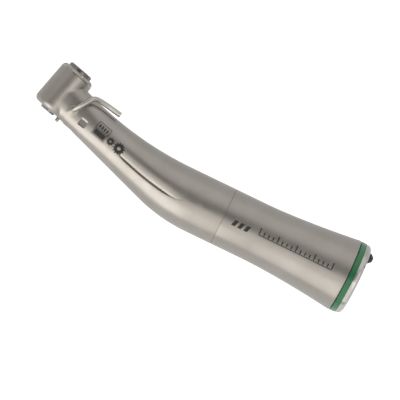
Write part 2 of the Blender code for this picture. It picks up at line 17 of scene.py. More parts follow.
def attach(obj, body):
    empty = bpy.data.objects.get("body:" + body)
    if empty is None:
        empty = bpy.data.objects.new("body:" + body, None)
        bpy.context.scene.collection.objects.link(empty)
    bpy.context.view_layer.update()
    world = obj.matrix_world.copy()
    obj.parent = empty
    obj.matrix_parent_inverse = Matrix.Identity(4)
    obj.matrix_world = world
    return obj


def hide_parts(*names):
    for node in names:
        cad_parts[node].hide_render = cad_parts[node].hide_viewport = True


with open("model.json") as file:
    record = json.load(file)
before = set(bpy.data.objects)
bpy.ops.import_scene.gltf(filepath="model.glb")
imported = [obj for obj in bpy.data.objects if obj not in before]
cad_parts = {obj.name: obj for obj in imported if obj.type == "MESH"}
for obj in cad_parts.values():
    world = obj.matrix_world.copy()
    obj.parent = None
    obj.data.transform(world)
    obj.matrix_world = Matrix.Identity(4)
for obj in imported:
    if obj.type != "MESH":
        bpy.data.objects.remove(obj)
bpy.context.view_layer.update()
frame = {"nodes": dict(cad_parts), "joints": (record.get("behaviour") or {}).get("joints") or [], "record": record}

MM = 0.001
JOINTS = {joint["name"]: joint for joint in frame["joints"]}


def basis(x, y, z, origin):
    made = Matrix((x, y, z)).transposed().to_4x4()
    made.translation = Vector(origin)
    return made


def cad_frames():
    ahead = Vector(JOINTS["output_turn"]["axis"]).normalized()
    bur = Vector(JOINTS["spindle_turn"]["axis"]).normalized()
    slope = Vector(JOINTS["neck_turn"]["axis"]).normalized()
    up = ahead.cross(bur).normalized()
    return (basis(ahead, up.cross(ahead), up, JOINTS["output_turn"]["pos_m"]),
            basis(slope, up.cross(slope), up, JOINTS["neck_turn"]["pos_m"]),
            basis(bur, -slope, up, JOINTS["spindle_turn"]["pos_m"]))


TOOL, NECK, HEAD = cad_frames()

# Outer form, as in the CAD
WAIST_RADIUS = 7.97
REAR_RADIUS = 10.0
FLARE_X = (4.0, 30.0)
SEAM_X = (39.38, 39.43)
SPIGOT = (36.1, 7.3)
HEAD_RADIUS = 4.92
HEAD_TOP = -7.3
HEAD_END = 4.3
NECK_END = 90.6
BACK_ARC = (52.5, 94.6)
BELLY_ARC_RADIUS = 46.0
BELLY_SLOPE = math.radians(19.19)
BELLY_POINT = (64.0, 4.68)
SECTION_LEAN = math.radians(16.7)
NECK_NARROWING = 0.12
NECK_SQUARENESS = 0.65
KNEE_X = 56.7
BEND = math.radians(15)
WALL = 0.8
GUIDE_Y = -6.7
NOSE_END = 4.9
NOZZLE_Y = 3.6
NOZZLE_END = 5.45
PLUG_TIP = -1.05
PLUG_RADIUS = 1.5
SLEEVE_BORE = 7.45
BAND_X = (2.25, 3.65)
BUSH_BORE = 4.9
HEAD_BORE = 4.05
CAP_LIP = HEAD_TOP - 0.8
CAP_NOTCHES = 8

# The casting's details, and the tube on it; BOSS and TUBE_ROUTE are in TOOL, POCKET in NECK
BOSS = ((88.1, -6.6, 3.2), (86.9, -8.1, 4.45))
BOSS_RADIUS = 0.72
BOSS_BLEND = 0.85
SADDLE_BLEND = 0.18
HEAD_CORNER = 1.45
SCALLOP_DEPTH = 0.56
POCKET = (27.15, 1.2)
POCKET_HALF = (1.02, 0.82)
POCKET_CORNER = 0.35
VOXEL = 0.30
PROJECT_ROUNDS = 5
TUBE_RADIUS = 0.715
TUBE_BORE = 0.42
TUBE_ROUTE = [(87.75, -7.0, 3.45), (87.07, -7.87, 4.35), (86.39, -8.73, 5.25), (85.3, -10.17, 5.88),
              (84.1, -11.9, 5.8), (83.1, -12.95, 5.2), (81.73, -13.15, 4.0), (79.5, -12.9, 2.8),
              (77.5, -12.55, 2.15), (75.46, -12.18, 1.71)]

# Facets, and the soft edge of turned pieces
ROUND = 128
SECTION_POINTS = 96
POCKET_POINTS = 40
EDGE = 0.06
CORNER_STEPS = 4
BLOCK_STEPS = 5
SMOOTH_ANGLE = math.radians(32)

# Noise scales of the materials, per metre
METAL_PATCH = 140
METAL_GRAIN = 9000
PLAIN_GRAIN = 6000

# Markings: the plate's middle, then the top and bottom of the inlays from the surface
PLATE_SPOT = (77.75, -6.1)
INLAY = (0.012, -0.05)

# Sky: its level, then the direction, size, core and change of level of each patch
SKY = 0.60
SKY_PATCHES = (((0.03, -0.17, 0.97), (0.52, 0.36, 0.8), 0.45, -0.37),
               ((-0.50, 0.0, 0.86), (0.35, 0.7, 0.5), 0.5, 0.56),
               ((0.0, -0.88, 0.45), (1.5, 0.52, 0.6), 0.5, 0.24))

# Lamps, in TOOL: place, aim, size and power
WARM = (1.0, 0.975, 0.94)
LAMPS = {"key": ((46, 383, 383), (46, 0, 0), (700, 847), 0.96),
         "accent": ((280, 400, 240), (67, 0, 0), (420, 460), 0.72)}

# Floor: its reach and the half width of its glow's slope, in metres
FLOOR_REACH = 2.5
GLOW_EDGE = 0.015

# Camera, in TOOL
LENS = 166.0
CAMERA_SPOT = (46.86, -1.21, 487)
CAMERA_RIGHT = (-0.9003, -0.4352, 0)
CAMERA_UP = (0.4352, -0.9003, 0)


# Mesh building


def fresh(name, verts, faces, place=TOOL):
    """A mesh object from points in millimetres in one of the frames."""
    mesh = bpy.data.meshes.new(name)
    mesh.from_pydata([tuple(p) for p in np.asarray(verts, float) * MM], [], [list(f) for f in faces])
    mesh.update()
    made = bpy.data.objects.new(name, mesh)
    bpy.context.scene.collection.objects.link(made)
    made.matrix_world = place
    return made


def settle(obj):
    """Applies every modifier."""
    bpy.context.view_layer.update()
    graph = bpy.context.evaluated_depsgraph_get()
    old = obj.data
    obj.data = bpy.data.meshes.new_from_object(obj.evaluated_get(graph))
    obj.data.name = obj.name
    obj.modifiers.clear()
    bpy.data.meshes.remove(old)
    return obj


def carve(obj, cutters, operation="DIFFERENCE"):
    for cutter in cutters:
        modifier = obj.modifiers.new(cutter.name, "BOOLEAN")
        modifier.operation = operation
        modifier.object = cutter
        modifier.solver = "MANIFOLD"
    settle(obj)
    for cutter in cutters:
        bpy.data.objects.remove(cutter)
    return obj


def soften(obj):
    obj.data.shade_smooth()
    obj.data.set_sharp_from_angle(angle=SMOOTH_ANGLE)
    return obj


def rounded(profile, radius):
    """Rounds each corner of an (along, radius) outline; corners on the axis stay."""
    points = [Vector(p) for p in profile]
    out = []
    for i, corner in enumerate(points):
        before, after = points[i - 1], points[(i + 1) % len(points)]
        if corner.y < 1e-9:
            out.append(corner)
            continue
        one, two = before - corner, after - corner
        reach = min(radius, one.length * 0.45, two.length * 0.45)
        start, end = corner + one.normalized() * reach, corner + two.normalized() * reach
        for k in range(CORNER_STEPS + 1):
            t = k / CORNER_STEPS
            out.append(start * (1 - t) ** 2 + corner * 2 * t * (1 - t) + end * t * t)
    return [tuple(p) for p in out]


def revolve(profile, segments, centre):
    """Points and faces of an outline spun about X; an outline that meets the axis stays closed."""
    verts, faces, rows = [], [], []
    turns = [math.tau * k / segments for k in range(segments)]
    for x, r in profile:
        if r < 1e-9:
            rows.append([len(verts)] * segments)
            verts.append((x, centre[0], centre[1]))
            continue
        rows.append(list(range(len(verts), len(verts) + segments)))
        verts += [(x, centre[0] + r * math.cos(t), centre[1] + r * math.sin(t)) for t in turns]
    pairs = list(zip(rows, rows[1:]))
    if profile[0][1] > 1e-9:
        pairs.append((rows[-1], rows[0]))
    for low, high in pairs:
        for k in range(segments):
            j = (k + 1) % segments
            face = list(dict.fromkeys((low[k], low[j], high[j], high[k])))
            if len(face) > 2:
                faces.append(face)
    return verts, faces


def turned(name, profile, place=TOOL, radius=EDGE, segments=ROUND, centre=(0, 0)):
    made = fresh(name, *revolve(rounded(profile, radius), segments, centre), place)
    return outward(made)


def outward(obj):
    """Points the normals of a closed mesh outwards."""
    bm = bmesh.new()
    bm.from_mesh(obj.data)
    bmesh.ops.recalc_face_normals(bm, faces=bm.faces)
    if bm.calc_volume(signed=True) < 0:
        bmesh.ops.reverse_faces(bm, faces=bm.faces)
    bm.to_mesh(obj.data)
    bm.free()
    return obj


def loft(name, rings, place=TOOL, looped=False):
    """Joins rings of points; looped joins the last to the first, else the ends are capped."""
    count = len(rings[0])
    verts = np.concatenate([np.asarray(ring, float) for ring in rings])
    rows = [list(range(k * count, (k + 1) * count)) for k in range(len(rings))]
    pairs = list(zip(rows, rows[1:])) + ([(rows[-1], rows[0])] if looped else [])
    faces = []
    for one, two in pairs:
        faces += [(one[k], one[(k + 1) % count], two[(k + 1) % count], two[k]) for k in range(count)]
    if not looped:
        faces += [rows[0][::-1], rows[-1]]
    return outward(fresh(name, verts, faces, place))


def block(name, low, high, place=TOOL, radius=0.0, along=2):
    """A box between two corners, its four edges along one axis rounded."""
    axes = [a for a in range(3) if a != along]
    corners = [(0, 0), (1, 0), (1, 1), (0, 1)]
    outline = []
    for k, corner in enumerate(corners):
        at = [high[a] if c else low[a] for a, c in zip(axes, corner)]
        if radius <= 0:
            outline.append(at)
            continue
        centre = [v - radius if c else v + radius for v, c in zip(at, corner)]
        for s in range(BLOCK_STEPS + 1):
            turn = math.pi + (k + s / BLOCK_STEPS) * math.pi / 2
            outline.append([centre[0] + radius * math.cos(turn), centre[1] + radius * math.sin(turn)])
    rings = []
    for end in (low[along], high[along]):
        ring = []
        for a, b in outline:
            spot = [0.0, 0.0, 0.0]
            spot[axes[0]], spot[axes[1]], spot[along] = a, b, end
            ring.append(spot)
        rings.append(ring)
    return loft(name, rings, place)


def smooth_path(points, per_span):
    """Catmull-Rom through given points."""
    spots = [Vector(p) for p in points]
    spots = [2 * spots[0] - spots[1], *spots, 2 * spots[-1] - spots[-2]]
    path = []
    for a, b, c, d in zip(spots, spots[1:], spots[2:], spots[3:]):
        for k in range(per_span):
            t = k / per_span
            path.append(0.5 * (2 * b + (c - a) * t + (2 * a - 5 * b + 4 * c - d) * t * t
                               + (3 * b - a - 3 * c + d) * t ** 3))
    return path + [spots[-2]]


def carried(path):
    """Two side vectors along a path, without twist."""
    steps = [(b - a).normalized() for a, b in zip(path, path[1:])]
    heads = [steps[0]] + [(a + b).normalized() for a, b in zip(steps, steps[1:])] + [steps[-1]]
    side = heads[0].orthogonal().normalized()
    for ahead in heads:
        side = (side - ahead * side.dot(ahead)).normalized()
        yield ahead, side, ahead.cross(side)


def sweep(name, path, radius, bore=0.0, sides=32, lip=0.0):
    """A rod or, with a bore, a tube along a path; lip rounds its outer end edges."""
    turns = [math.tau * k / sides for k in range(sides)]
    outer, inner = [], []
    frames = list(zip(path, carried(path)))
    for index, (spot, (ahead, side, up)) in enumerate(frames):
        circle = [side * math.cos(t) + up * math.sin(t) for t in turns]
        last = index in (0, len(frames) - 1)
        if last and lip:
            out = -ahead if index == 0 else ahead
            stages = [(math.cos(a), math.sin(a)) for a in (0.0, 0.52, 1.05, math.pi / 2)]
            made = [[spot + (radius - lip + lip * c) * p + out * lip * s for p in circle]
                    for c, s in stages]
            outer += made if index else made[::-1]
            inner.append([spot + out * lip + bore * p for p in circle])
            continue
        outer.append([spot + radius * p for p in circle])
        inner.append([spot + bore * p for p in circle])
    rings = outer + inner[::-1] if bore else outer
    return loft(name, rings, looped=bool(bore))


# The outer form


def flare(x):
    reach = np.maximum(0.0, (FLARE_X[1] - x) / (FLARE_X[1] - FLARE_X[0]))
    return WAIST_RADIUS + (REAR_RADIUS - WAIST_RADIUS) * reach ** 1.6


def back_y(x):
    start, radius = BACK_ARC
    run = np.maximum(0.0, x - start)
    return -WAIST_RADIUS - (radius - np.sqrt(radius * radius - run * run))


def belly_y(x):
    slope = math.tan(BELLY_SLOPE)
    corner = BELLY_POINT[0] - (WAIST_RADIUS - BELLY_POINT[1]) / slope
    tangent = BELLY_ARC_RADIUS * math.tan(BELLY_SLOPE / 2)
    start, end = corner - tangent, corner + tangent * math.cos(BELLY_SLOPE)
    run = np.clip(x - start, 0.0, end - start)
    bent = WAIST_RADIUS - (BELLY_ARC_RADIUS - np.sqrt(BELLY_ARC_RADIUS ** 2 - run * run))
    return np.where(x >= end, BELLY_POINT[1] - slope * (x - BELLY_POINT[0]), bent)


def ease(x, low, high):
    t = np.clip((x - low) / (high - low), 0.0, 1.0)
    return t * t * (3 - 2 * t)


def section_form(u):
    """Centre, downward arm, half height, half width and squareness of the neck's section at u."""
    lean = SECTION_LEAN * ease(u, 47, 65)
    half = (belly_y(u) - back_y(u)) / 2 * np.cos(lean)
    shift = half * np.sin(lean)
    top = np.stack([u - shift, back_y(u - shift)], -1)
    low = np.stack([u + shift, belly_y(u + shift)], -1)
    span = np.linalg.norm(low - top, axis=-1)
    deep = span / 2
    wide = deep * (1 - NECK_NARROWING * ease(u, 72, 90))
    power = 2 + NECK_SQUARENESS * ease(u, 74, 90)
    return (top + low) / 2, (low - top) / span[..., None], deep, wide, power


def section(u, inset=0.0):
    """Outline of the neck at u, or of its hollow, inset from it."""
    middle, arm, deep, wide, power = section_form(np.float64(u))
    turns = np.arange(SECTION_POINTS) * math.tau / SECTION_POINTS
    c, s = np.cos(turns), np.sin(turns)
    along = np.sign(c) * np.abs(c) ** (2 / power) * (deep - inset)
    aside = np.sign(s) * np.abs(s) ** (2 / power) * (wide - inset)
    flat = middle[None, :] + along[:, None] * arm[None, :]
    return np.column_stack([flat, aside])


def section_place(x, y):
    """The section that passes through each point of the mid plane, and how far along its arm it is."""
    u = np.array(x, float)
    for _ in range(6):
        middle, arm, deep, wide, power = section_form(u)
        dx, dy = x - middle[..., 0], y - middle[..., 1]
        u = u + dx * arm[..., 1] - dy * arm[..., 0]
    middle, arm, deep, wide, power = section_form(u)
    along = (x - middle[..., 0]) * arm[..., 0] + (y - middle[..., 1]) * arm[..., 1]
    return u, along, deep, wide, power


def flank_z(x, y):
    """Height of the neck's near flank over a point of the mid plane."""
    _, along, deep, wide, power = section_place(np.asarray(x, float), np.asarray(y, float))
    share = np.minimum(1.0, np.abs(along) / deep)
    return wide * (1 - share ** power) ** (1 / power)


def sleeve_z(x, y):
    return np.sqrt(flare(np.asarray(x, float)) ** 2 - np.asarray(y, float) ** 2)


def neck_xy(s, d):
    """TOOL x and y of a point s along the neck and d to its bur side."""
    return KNEE_X + s * math.cos(BEND) + d * math.sin(BEND), d * math.cos(BEND) - s * math.sin(BEND)


def blend_min(a, b, reach):
    """Smallest of two distances, filleted where they are alike."""
    mix = np.clip(0.5 + 0.5 * (b - a) / reach, 0, 1)
    return b + (a - b) * mix - reach * mix * (1 - mix)


def round_corner(a, b, radius):
    a, b = a + radius, b + radius
    return np.minimum(np.maximum(a, b), 0) + np.hypot(np.maximum(a, 0), np.maximum(b, 0)) - radius


def to_frame(place, points):
    """TOOL points in the axes of another frame."""
    move = np.array(place.inverted() @ TOOL)
    return points @ move[:3, :3].T + move[:3, 3] / MM


def casting_distance(points):
    """Distance from the outside of the neck and head, all in one casting."""
    u, along, deep, wide, power = section_place(points[:, 0], points[:, 1])
    ratio = (np.abs(along / deep) ** power + np.abs(points[:, 2] / wide) ** power) ** (1 / power)
    neck = np.maximum((ratio - 1) * deep, u - NECK_END)
    neck = np.maximum(neck, SPIGOT[0] - points[:, 0])
    at = to_frame(HEAD, points)
    r = np.hypot(at[:, 1], at[:, 2])
    head = round_corner(at[:, 0] - HEAD_END, r - HEAD_RADIUS, HEAD_CORNER)
    head = np.maximum(head, CAP_LIP - at[:, 0])
    both = blend_min(neck, head, SADDLE_BLEND)
    low, high = np.array(BOSS[0]), np.array(BOSS[1])
    line = high - low
    share = np.clip((points - low) @ line / (line @ line), 0, 1)
    boss = np.linalg.norm(points - low - share[:, None] * line, axis=1) - BOSS_RADIUS
    return blend_min(both, boss, BOSS_BLEND)


def project(points, distance):
    """Moves points onto the zero surface of a distance."""
    step = 0.02
    for _ in range(PROJECT_ROUNDS):
        slope = np.stack([(distance(points + d) - distance(points - d)) / (2 * step)
                          for d in np.eye(3) * step], -1)
        length = np.maximum((slope * slope).sum(1), 0.2)
        move = distance(points)[:, None] * slope / length[:, None]
        points = points - np.clip(move, -0.3, 0.3)
    return points


def scallop_cutter(side):
    """Scoop in the bend's flank: a crisp rounded lip along the belly, a faint crease along the back."""
    crisp = smooth_path([(74.4, -4.9, 0), (73.2, -4.1, 0), (71.4, -2.85, 0), (69.7, -2.0, 0),
                         (66.0, -0.9, 0), (62.1, 0.1, 0), (57.5, 1.0, 0), (54.3, 1.28, 0),
                         (52.2, 1.2, 0), (50.6, 0.8, 0), (49.2, 0.1, 0)], 8)
    faint = smooth_path([(74.4, -5.1, 0), (72.4, -5.45, 0), (70.3, -5.4, 0), (68.4, -5.2, 0),
                         (65.1, -4.3, 0), (61.7, -3.3, 0), (58.2, -2.6, 0), (54.9, -2.3, 0),
                         (52.4, -2.3, 0), (50.6, -1.5, 0), (49.2, -0.1, 0)], 8)
    crease_x, crease_y = np.array([(p.x, p.y) for p in faint[::-1]]).T
    rings = []
    for spot in crisp:
        share = float(ease(spot.x, 50.0, 57.5) * ease(-spot.x, -74.4, -68.4))
        depth = SCALLOP_DEPTH * share - 0.03
        start = float(np.interp(spot.x, crease_x, crease_y))
        width = max(0.1, spot.y - start)
        t = np.linspace(-0.08, 1.0, 20)
        rise = 0.3 * t + 0.7 * np.maximum(t, 0) ** 2.2
        y = start + width * t
        z = flank_z(np.full_like(y, spot.x), y) - depth * (rise + 0.16 * ease(t, 0.82, 1.0))
        lip = np.linspace(0.12, 1.5, 10)
        lip_y = spot.y + lip * 0.29 * (0.3 + 0.7 * share)
        drop = 1.16 * depth * np.abs(1 - lip) ** 2.2 * np.sign(1 - lip)
        lip_z = flank_z(np.full_like(lip_y, spot.x), lip_y) - drop
        ys = [*y, *lip_y, lip_y[-1], y[0]]
        zs = [*z, *lip_z, lip_z[-1] + 2.0, z[0] + 2.0]
        if depth < 0:
            zs = [v + 0.04 for v in zs]
        rings.append([(spot.x, a, side * b) for a, b in zip(ys, zs)])
    return loft(f"scallop_{side}", rings)


def pocket_ring(grow, lift, lean=0.0):
    """A rounded square over the near flank at an even height above it; lean moves it to the back."""
    ring = []
    for k in range(POCKET_POINTS):
        turn = math.tau * k / POCKET_POINTS
        c, s = (math.copysign(abs(v) ** POCKET_CORNER, v) for v in (math.cos(turn), math.sin(turn)))
        x, y = neck_xy(POCKET[0] + (POCKET_HALF[0] + grow) * c,
                       POCKET[1] - lean + (POCKET_HALF[1] + grow + lean) * s)
        ring.append((x, y, float(flank_z(x, y)) + lift))
    return ring


def pocket_cutter():
    """Rounded square recess on the near flank; its mouth is bevelled, most of all on the back."""
    stages = ((-0.42, 0.0, 0.0), (-0.19, 0.02, 0.0), (-0.03, 0.05, 0.17), (0.05, 0.2, 0.22),
              (1.5, 0.3, 0.22))
    return loft("clip_pocket", [pocket_ring(grow, lift, lean) for lift, grow, lean in stages])


def casting():
    """The neck and head casting: remeshed, drawn onto its exact surface, then machined."""
    shape = loft("head_and_neck", [section(u) for u in np.linspace(SPIGOT[0], NECK_END, 60)])
    head = turned("head_form", [(CAP_LIP, 0), (CAP_LIP, HEAD_RADIUS), (2.9, HEAD_RADIUS), (3.9, 4.5),
                                (HEAD_END, 3.4), (HEAD_END, 0)], HEAD)
    boss = sweep("boss_form", [Vector(p) for p in BOSS], BOSS_RADIUS)
    carve(shape, [head, boss], "UNION")
    remesh = shape.modifiers.new("remesh", "REMESH")
    remesh.mode = "VOXEL"
    remesh.voxel_size = VOXEL * MM
    settle(shape)
    mesh = shape.data
    points = np.empty(len(mesh.vertices) * 3, np.float32)
    mesh.vertices.foreach_get("co", points)
    points = project(points.reshape(-1, 3).astype(float) / MM, casting_distance)
    mesh.vertices.foreach_set("co", (points * MM).astype(np.float32).ravel())
    mesh.update()

    ring = [(30, SPIGOT[1]), (30, 12), (SEAM_X[1], 12), (SEAM_X[1], SPIGOT[1])]
    hollow = [section(35, 2.0), section(40.3, 2.0)]
    hollow += [section(u, WALL) for u in (40.5, 44, *range(47, 64, 2), 66, 70, 75, 80, 85, NECK_END)]
    root, ahead = (Vector(p) for p in TUBE_ROUTE[:2])
    seat = [root + (ahead - root).normalized() * k for k in (-0.3, 3.1)]
    cutters = [
        turned("spigot_ring", ring, radius=0.03),
        turned("head_trim", [(-14, 0), (-14, 7), (HEAD_TOP, 7), (HEAD_TOP, 0)], HEAD, 0.0),
        loft("hollow", hollow),
        turned("head_bore", [(-9, 0), (-9, HEAD_BORE), (3.8, HEAD_BORE), (3.8, 0)], HEAD),
        turned("chuck_opening", [(3, 0), (3, 2.4), (4.15, 2.4), (6, 4.0), (6, 0)], HEAD, 0.02),
        turned("nozzle_seat", [(3.4, 0), (3.4, 0.6), (6, 0.6), (6, 0)], HEAD, 0.0, 48, (NOZZLE_Y, 0)),
        block("guide_groove", (35, -7.4, -0.7), (40.6, -5.9, 0.7)),
        pocket_cutter(),
        block("window_opening", (28.2, 2.9, -1.35), (31.6, 7, 1.35), NECK, 0.5, 1),
        sweep("tube_seat", seat, TUBE_RADIUS + 0.02),
        scallop_cutter(1),
        scallop_cutter(-1),
    ]
    return carve(shape, cutters)


# Materials


def tree_of(name):
    made = bpy.data.materials.new(name)
    made.use_nodes = True
    nodes = made.node_tree.nodes
    return made, made.node_tree, nodes["Principled BSDF"]


def noise(tree, scale, detail=4.0):
    where = tree.nodes.new("ShaderNodeTexCoord")
    made = tree.nodes.new("ShaderNodeTexNoise")
    made.inputs["Scale"].default_value = scale
    made.inputs["Detail"].default_value = detail
    tree.links.new(where.outputs["Object"], made.inputs["Vector"])
    return made.outputs["Fac"]


def along_axis(tree, axis):
    """How far along an axis a point lies, in metres."""
    where = tree.nodes.new("ShaderNodeTexCoord")
    dot = tree.nodes.new("ShaderNodeVectorMath")
    dot.operation = "DOT_PRODUCT"
    dot.inputs[1].default_value = tuple(axis)
    tree.links.new(where.outputs["Object"], dot.inputs[0])
    return dot.outputs["Value"]


def rings_along(tree, spacing, axis):
    """Fine turning lines across an axis, as a height."""
    made = tree.nodes.new("ShaderNodeTexNoise")
    made.noise_dimensions = "1D"
    made.inputs["Scale"].default_value = 1 / (spacing * MM)
    made.inputs["Detail"].default_value = 2.0
    tree.links.new(along_axis(tree, axis), made.inputs["W"])
    return made.outputs["Fac"]


def ranged(tree, source, low, high):
    """Spreads the middle of a noise over a range."""
    made = tree.nodes.new("ShaderNodeMapRange")
    made.inputs["From Min"].default_value = 0.3
    made.inputs["From Max"].default_value = 0.7
    made.inputs["To Min"].default_value = low
    made.inputs["To Max"].default_value = high
    tree.links.new(source, made.inputs["Value"])
    return made.outputs["Result"]


def tinted(tree, source, one, two):
    """Blends two colours by the middle of a noise."""
    made = tree.nodes.new("ShaderNodeValToRGB")
    made.color_ramp.elements[0].position = 0.35
    made.color_ramp.elements[1].position = 0.65
    made.color_ramp.elements[0].color = (*one, 1)
    made.color_ramp.elements[1].color = (*two, 1)
    tree.links.new(source, made.inputs["Fac"])
    return made.outputs["Color"]


def bumped(tree, shader, heights):
    """Chains (height, strength, distance in mm) into one normal."""
    normal = None
    for height, strength, distance in heights:
        made = tree.nodes.new("ShaderNodeBump")
        made.inputs["Strength"].default_value = strength
        made.inputs["Distance"].default_value = distance * MM
        tree.links.new(height, made.inputs["Height"])
        if normal:
            tree.links.new(normal, made.inputs["Normal"])
        normal = made.outputs["Normal"]
    tree.links.new(normal, shader.inputs["Normal"])


def metal(name, dark, light, rough, bump=0.10, lines=None):
    """A metal with soft patches of tone, uneven roughness, a fine grain and maybe turning lines.

    lines gives their spacing in mm, the axis that they run round, and their strength.
    """
    made, tree, shader = tree_of(name)
    shader.inputs["Metallic"].default_value = 1.0
    tree.links.new(tinted(tree, noise(tree, METAL_PATCH), dark, light), shader.inputs["Base Color"])
    tree.links.new(ranged(tree, noise(tree, METAL_PATCH * 3.1), *rough), shader.inputs["Roughness"])
    heights = [(noise(tree, METAL_GRAIN, 2.0), bump, 0.004)]
    if lines:
        spacing, axis, strength = lines
        heights.append((rings_along(tree, spacing, axis), strength, 0.006))
    bumped(tree, shader, heights)
    return made


def plain(name, dark, light, rough, metallic=0.0, patch=200, coat=0.0, sheen=0.0):
    """Plastic, rubber or a coating, with soft patches and a fine grain."""
    made, tree, shader = tree_of(name)
    shader.inputs["Metallic"].default_value = metallic
    shader.inputs["Coat Weight"].default_value = coat
    shader.inputs["Coat Roughness"].default_value = 0.12
    shader.inputs["Sheen Weight"].default_value = sheen
    tree.links.new(tinted(tree, noise(tree, patch), dark, light), shader.inputs["Base Color"])
    tree.links.new(ranged(tree, noise(tree, patch * 2.3), *rough), shader.inputs["Roughness"])
    bumped(tree, shader, [(noise(tree, PLAIN_GRAIN, 3.0), 0.2, 0.01)])
    return made


def glass(name):
    made, tree, shader = tree_of(name)
    shader.inputs["Transmission Weight"].default_value = 0.75
    shader.inputs["IOR"].default_value = 1.5
    tree.links.new(tinted(tree, noise(tree, 900), (0.62, 0.68, 0.70), (0.78, 0.83, 0.84)),
                   shader.inputs["Base Color"])
    tree.links.new(ranged(tree, noise(tree, 2500), 0.05, 0.16), shader.inputs["Roughness"])
    return made


AXIS = tuple(TOOL.col[0][:3])
BUR_AXIS = tuple(HEAD.col[0][:3])
LOOKS = {
    "satin_titanium": metal("satin_titanium", (0.385, 0.362, 0.330), (0.420, 0.396, 0.362),
                            (0.30, 0.36)),
    "machined_steel": metal("machined_steel", (0.42, 0.42, 0.43), (0.52, 0.52, 0.53), (0.24, 0.36),
                            lines=(0.12, AXIS, 0.5)),
    "polished_steel": metal("polished_steel", (0.58, 0.58, 0.575), (0.68, 0.68, 0.67),
                            (0.10, 0.20), bump=0.04),
    "bearing_steel": metal("bearing_steel", (0.62, 0.62, 0.63), (0.70, 0.70, 0.71),
                           (0.06, 0.14), bump=0.02),
    "gear_steel": metal("gear_steel", (0.36, 0.36, 0.37), (0.48, 0.48, 0.49), (0.18, 0.30), bump=0.15),
    "green_band": plain("green_band", (0.008, 0.125, 0.044), (0.014, 0.170, 0.062),
                        (0.22, 0.32), coat=0.35),
    "bronze": metal("bronze", (0.46, 0.31, 0.15), (0.58, 0.41, 0.21), (0.22, 0.34),
                    lines=(0.15, AXIS, 0.5)),
    "black_plastic": plain("black_plastic", (0.012, 0.012, 0.013), (0.022, 0.022, 0.023), (0.26, 0.40)),
    "seal_rubber": plain("seal_rubber", (0.016, 0.016, 0.017), (0.032, 0.032, 0.032), (0.6, 0.8),
                         sheen=0.2),
    "light_glass": glass("light_glass"),
    "spring_steel": metal("spring_steel", (0.46, 0.46, 0.47), (0.58, 0.58, 0.59), (0.14, 0.24),
                          bump=0.08),
}
END_STEEL = metal("end_steel", (0.50, 0.49, 0.47), (0.60, 0.59, 0.57), (0.08, 0.14), bump=0.03,
                  lines=(0.10, AXIS, 0.35))
CAP_STEEL = metal("cap_steel", (0.40, 0.385, 0.35), (0.50, 0.48, 0.44), (0.20, 0.30), bump=0.05,
                  lines=(0.10, BUR_AXIS, 0.35))
BUTTON_STEEL = metal("button_steel", (0.20, 0.19, 0.185), (0.30, 0.29, 0.28), (0.18, 0.28), bump=0.05,
                     lines=(0.10, BUR_AXIS, 0.3))
NOSE_STEEL = metal("nose_steel", (0.22, 0.225, 0.27), (0.32, 0.32, 0.37), (0.14, 0.24), bump=0.05,
                   lines=(0.10, BUR_AXIS, 0.3))
DOG_STEEL = metal("dog_steel", (0.26, 0.26, 0.28), (0.36, 0.36, 0.38), (0.16, 0.26), bump=0.05,
                  lines=(0.10, AXIS, 0.3))
TUBE_STEEL = metal("tube_steel", (0.50, 0.48, 0.435), (0.58, 0.56, 0.515), (0.28, 0.36), bump=0.06)
ETCHED = plain("etched_mark", (0.022, 0.021, 0.020), (0.045, 0.043, 0.040), (0.42, 0.58),
               metallic=0.3, patch=2600)
# Painted shade: a darker metal that lines the pocket's floor and stands in for the shade inside the recess.
POCKET_SHADE = metal("pocket_painted_shade", (0.18, 0.168, 0.152), (0.22, 0.207, 0.19), (0.26, 0.36))


def dress(obj, body, look, *nodes, slot=None):
    """Gives a piece its material and its body, and hides the CAD nodes it stands for."""
    obj.data.transform(obj.matrix_world)
    obj.matrix_world = Matrix.Identity(4)
    obj.data.materials.clear()
    obj.data.materials.append(look)
    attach(obj, body)
    if nodes:
        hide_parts(*nodes)
    return obj


# Pieces


